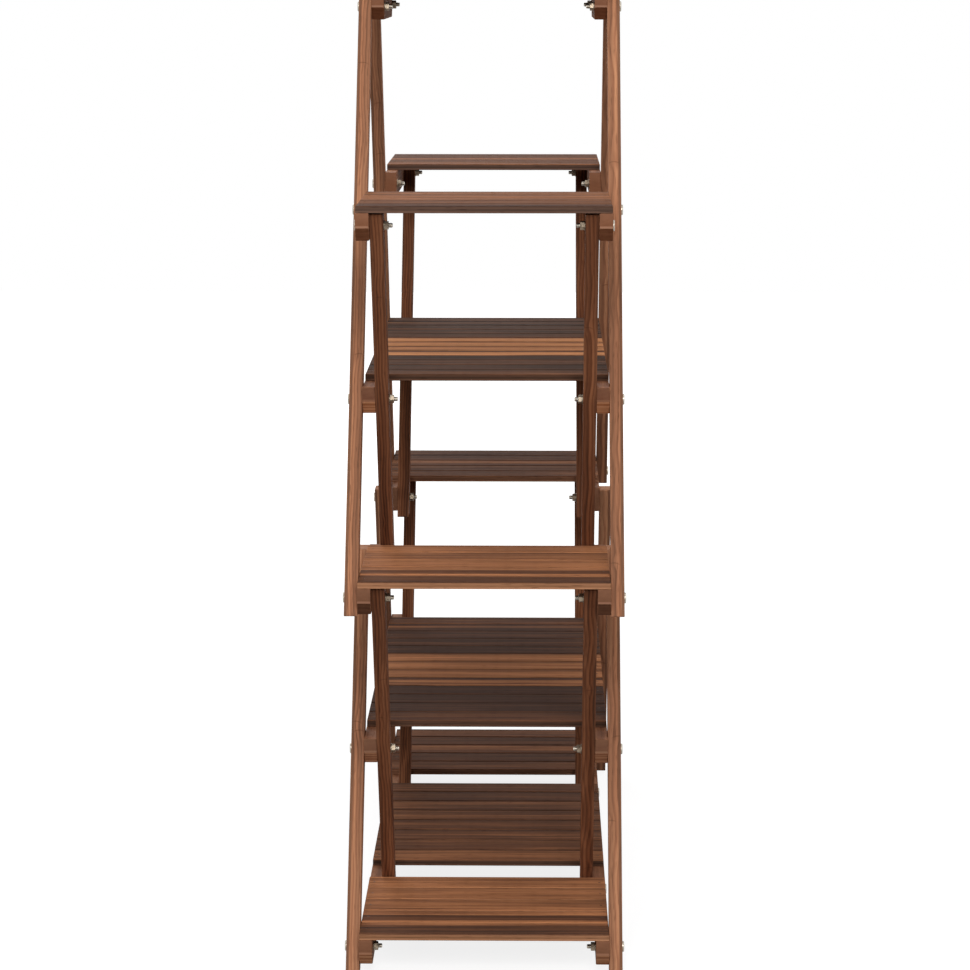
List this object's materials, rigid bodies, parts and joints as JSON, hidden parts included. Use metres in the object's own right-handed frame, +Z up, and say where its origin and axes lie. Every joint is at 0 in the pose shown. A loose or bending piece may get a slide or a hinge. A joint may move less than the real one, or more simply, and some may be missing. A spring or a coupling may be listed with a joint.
{
  "type": "plant stand",
  "caption": "Free-standing tiered wooden plant stand: crossed leaning legs bolted to rails that carry slatted shelves for pots.",
  "frame": {"origin": "on the floor under the middle of the stand", "axes": "+X along the length towards the front end, +Y to the right side as seen from the front end, +Z up"},
  "size_m": [0.9536, 0.2838, 0.989],
  "materials": {
    "outer_leg_wood": "satin brown wood, straight and wavy long grain",
    "inner_leg_wood": "satin brown wood, straight and wavy long grain",
    "rail_wood": "satin brown wood",
    "slat_wood": "satin brown wood in darker and lighter stripes",
    "bolt_steel": "plated",
    "nut_steel": "bright plated",
    "nail_steel": "dull"
  },
  "bodies": {
    "root": {"upper_outer_leg_front_left": "outer_leg_wood", "lower_outer_leg_front_left": "outer_leg_wood", "upper_inner_leg_front_left": "inner_leg_wood", "lower_inner_leg_front_left": "inner_leg_wood", "upper_outer_leg_rear_left": "outer_leg_wood", "lower_outer_leg_rear_left": "outer_leg_wood", "upper_inner_leg_rear_left": "inner_leg_wood", "lower_inner_leg_rear_left": "inner_leg_wood", "bottom_rail_left": "rail_wood", "second_level_rail_left": "rail_wood", "fourth_level_rail_left": "rail_wood", "top_rail_left": "rail_wood", "third_level_front_rail_left": "rail_wood", "third_level_rear_rail_left": "rail_wood", "fifth_level_front_rail_left": "rail_wood", "fifth_level_rear_rail_left": "rail_wood", "upper_outer_leg_front_right": "outer_leg_wood", "lower_outer_leg_front_right": "outer_leg_wood", "upper_inner_leg_front_right": "inner_leg_wood", "lower_inner_leg_front_right": "inner_leg_wood", "upper_outer_leg_rear_right": "outer_leg_wood", "lower_outer_leg_rear_right": "outer_leg_wood", "upper_inner_leg_rear_right": "inner_leg_wood", "lower_inner_leg_rear_right": "inner_leg_wood", "bottom_rail_right": "rail_wood", "second_level_rail_right": "rail_wood", "fourth_level_rail_right": "rail_wood", "top_rail_right": "rail_wood", "third_level_front_rail_right": "rail_wood", "third_level_rear_rail_right": "rail_wood", "fifth_level_front_rail_right": "rail_wood", "fifth_level_rear_rail_right": "rail_wood", "bottom_front_shelf": "slat_wood", "bottom_middle_shelf": "slat_wood", "bottom_rear_shelf": "slat_wood", "second_level_shelf": "slat_wood", "third_level_front_shelf": "slat_wood", "third_level_rear_shelf": "slat_wood", "fourth_level_shelf": "slat_wood", "fifth_level_front_shelf": "slat_wood", "fifth_level_rear_shelf": "slat_wood", "top_shelf": "slat_wood", "long_bolts": "bolt_steel", "short_bolts_outer_legs": "bolt_steel", "short_bolts_inner_legs": "bolt_steel", "washers": "nut_steel", "nuts": "nut_steel", "slat_nails": "nail_steel"}
  },
  "joints": []
}
